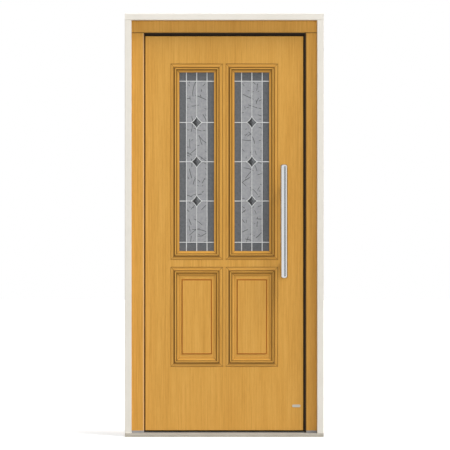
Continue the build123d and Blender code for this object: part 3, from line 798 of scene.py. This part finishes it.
addHingeScrews()

lockScrews = {"strikeHalf": 0.075, "strikeStep": 0.058, "plateStep": (0.28, 0.82)}


def addLockScrews():
    low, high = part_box("strike_plates")
    middleY = (low.y + high.y) / 2
    heights = threeHeights(low, high, lockScrews["strikeHalf"])
    strikes = [(low.x, middleY, height + end * lockScrews["strikeStep"])
               for height in heights for end in (-1, 1)]
    addScrews("strike_screws", "door_frame", "lockSteel", strikes, (-1, 0, 0))
    low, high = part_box("lock_faceplate")
    middle = (low + high) / 2
    plates = [(high.x, middle.y, middle.z + end * step)
              for step in lockScrews["plateStep"] for end in (-1, 1)]
    addScrews("faceplate_screws", "door_leaf", "lockSteel", plates, (1, 0, 0))


addLockScrews()
print("bar, plate, lip, solder and screws done")


# Floor, light and camera

stage = {
    "floorSize": 60.0,
    "white": (1.0, 1.0, 1.0, 1.0),
    "floorShown": 0.9,
    "floorGlow": 0.45,  # for the camera alone, low enough to keep the shadow
    "floorMirrored": 0.75,  # about white under these lamps, so that steel is as bright low down as high up
    "floorBounce": 0.28,
    "skyLight": 0.27,
    "front": {"from": (0.06, -0.99, 0.06), "angle": 26.0, "strength": 1.44},
    "side": {"from": (0.40, -0.275, 0.87), "angle": 26.0, "strength": 3.25},
    "back": {"from": (-0.35, 0.88, 0.32), "angle": 45.0, "strength": 1.5},
    "card": {"centre": (2.18, -4.46, 1.1), "size": (4.9, 4.0), "turn": 32.0, "tone": 0.37},
}


def lightPathIs(tree, *kinds):
    path = addNode(tree, "ShaderNodeLightPath").outputs
    total = path[kinds[0]]
    for kind in kinds[1:]:
        total = calc(tree, "MAXIMUM", total, path[kind])
    return total


def addFloor():
    mesh = bmesh.new()
    bmesh.ops.create_grid(mesh, x_segments=1, y_segments=1, size=stage["floorSize"] / 2)
    data = bpy.data.meshes.new("floor")
    mesh.to_mesh(data)
    mesh.free()
    floor = bpy.data.objects.new("floor", data)
    scene.collection.objects.link(floor)
    material, tree, shader = startFinish("floor_pale", Roughness=0.9, Specular_IOR_Level=0.0)
    seen = lightPathIs(tree, "Is Camera Ray")
    mirrored = lightPathIs(tree, "Is Glossy Ray", "Is Transmission Ray")
    seenTone = fade(tree, seen, 0.0, 1.0, stage["floorBounce"], stage["floorShown"])
    mirroredTone = fade(tree, mirrored, 0.0, 1.0, stage["floorBounce"], stage["floorMirrored"])
    tree.links.new(calc(tree, "MAXIMUM", seenTone, mirroredTone), shader.inputs["Base Color"])
    tree.links.new(calc(tree, "MULTIPLY", seen, stage["floorGlow"]), shader.inputs["Emission Strength"])
    shader.inputs["Emission Color"].default_value = stage["white"]
    data.materials.append(material)


def addLight():
    world = bpy.data.worlds.new("studio")
    world.use_nodes = True
    scene.world = world
    tree = world.node_tree
    shown = lightPathIs(tree, "Is Camera Ray", "Is Glossy Ray", "Is Transmission Ray")
    background = tree.nodes["Background"]
    background.inputs["Color"].default_value = stage["white"]
    tree.links.new(fade(tree, shown, 0.0, 1.0, stage["skyLight"], 1.0), background.inputs["Strength"])
    for name in ("front", "side", "back"):
        look = stage[name]
        lamp = bpy.data.lights.new(name, "SUN")
        lamp.energy = look["strength"]
        lamp.angle = math.radians(look["angle"])
        light = bpy.data.objects.new(name, lamp)
        light.rotation_mode = "QUATERNION"
        light.rotation_quaternion = Vector(look["from"]).to_track_quat("Z", "Y")
        light.visible_glossy = False  # the steel mirrors the white studio and the card alone
        scene.collection.objects.link(light)


def addCard():  # a grey card that only reflections see, for the dark band along the steel
    look = stage["card"]
    mesh = bmesh.new()
    bmesh.ops.create_grid(mesh, x_segments=1, y_segments=1, size=0.5)
    bmesh.ops.scale(mesh, vec=(look["size"][0], look["size"][1], 1.0), verts=mesh.verts)
    turn = Matrix.Rotation(math.radians(look["turn"]), 4, "Z") @ Matrix.Rotation(math.pi / 2, 4, "X")
    bmesh.ops.transform(mesh, matrix=Matrix.Translation(look["centre"]) @ turn, verts=mesh.verts)
    data = bpy.data.meshes.new("card")
    mesh.to_mesh(data)
    mesh.free()
    card = bpy.data.objects.new("card", data)
    scene.collection.objects.link(card)
    material, _, shader = startFinish("card_grey", Roughness=1.0, Specular_IOR_Level=0.0)
    shader.inputs["Base Color"].default_value = (0.0, 0.0, 0.0, 1.0)
    shader.inputs["Emission Color"].default_value = stage["white"]
    shader.inputs["Emission Strength"].default_value = look["tone"]
    data.materials.append(material)
    for ray in ("camera", "diffuse", "transmission", "volume_scatter", "shadow"):
        setattr(card, f"visible_{ray}", False)


camera = {"lens": 250.0, "sensor": 36.0, "span": 2.380, "aim": (0.0037, 0.0, 1.1186)}


def addCamera():
    data = bpy.data.cameras.new("camera")
    data.lens = camera["lens"]
    data.sensor_width = camera["sensor"]
    eye = bpy.data.objects.new("camera", data)
    distance = camera["span"] * camera["lens"] / camera["sensor"]
    eye.location = Vector(camera["aim"]) - Vector((0.0, distance, 0.0))
    eye.rotation_euler = (math.pi / 2, 0.0, 0.0)
    scene.collection.objects.link(eye)
    scene.camera = eye


addFloor()
addLight()
addCard()
addCamera()
scene.view_settings.view_transform = "Standard"
print("floor, light and camera done")
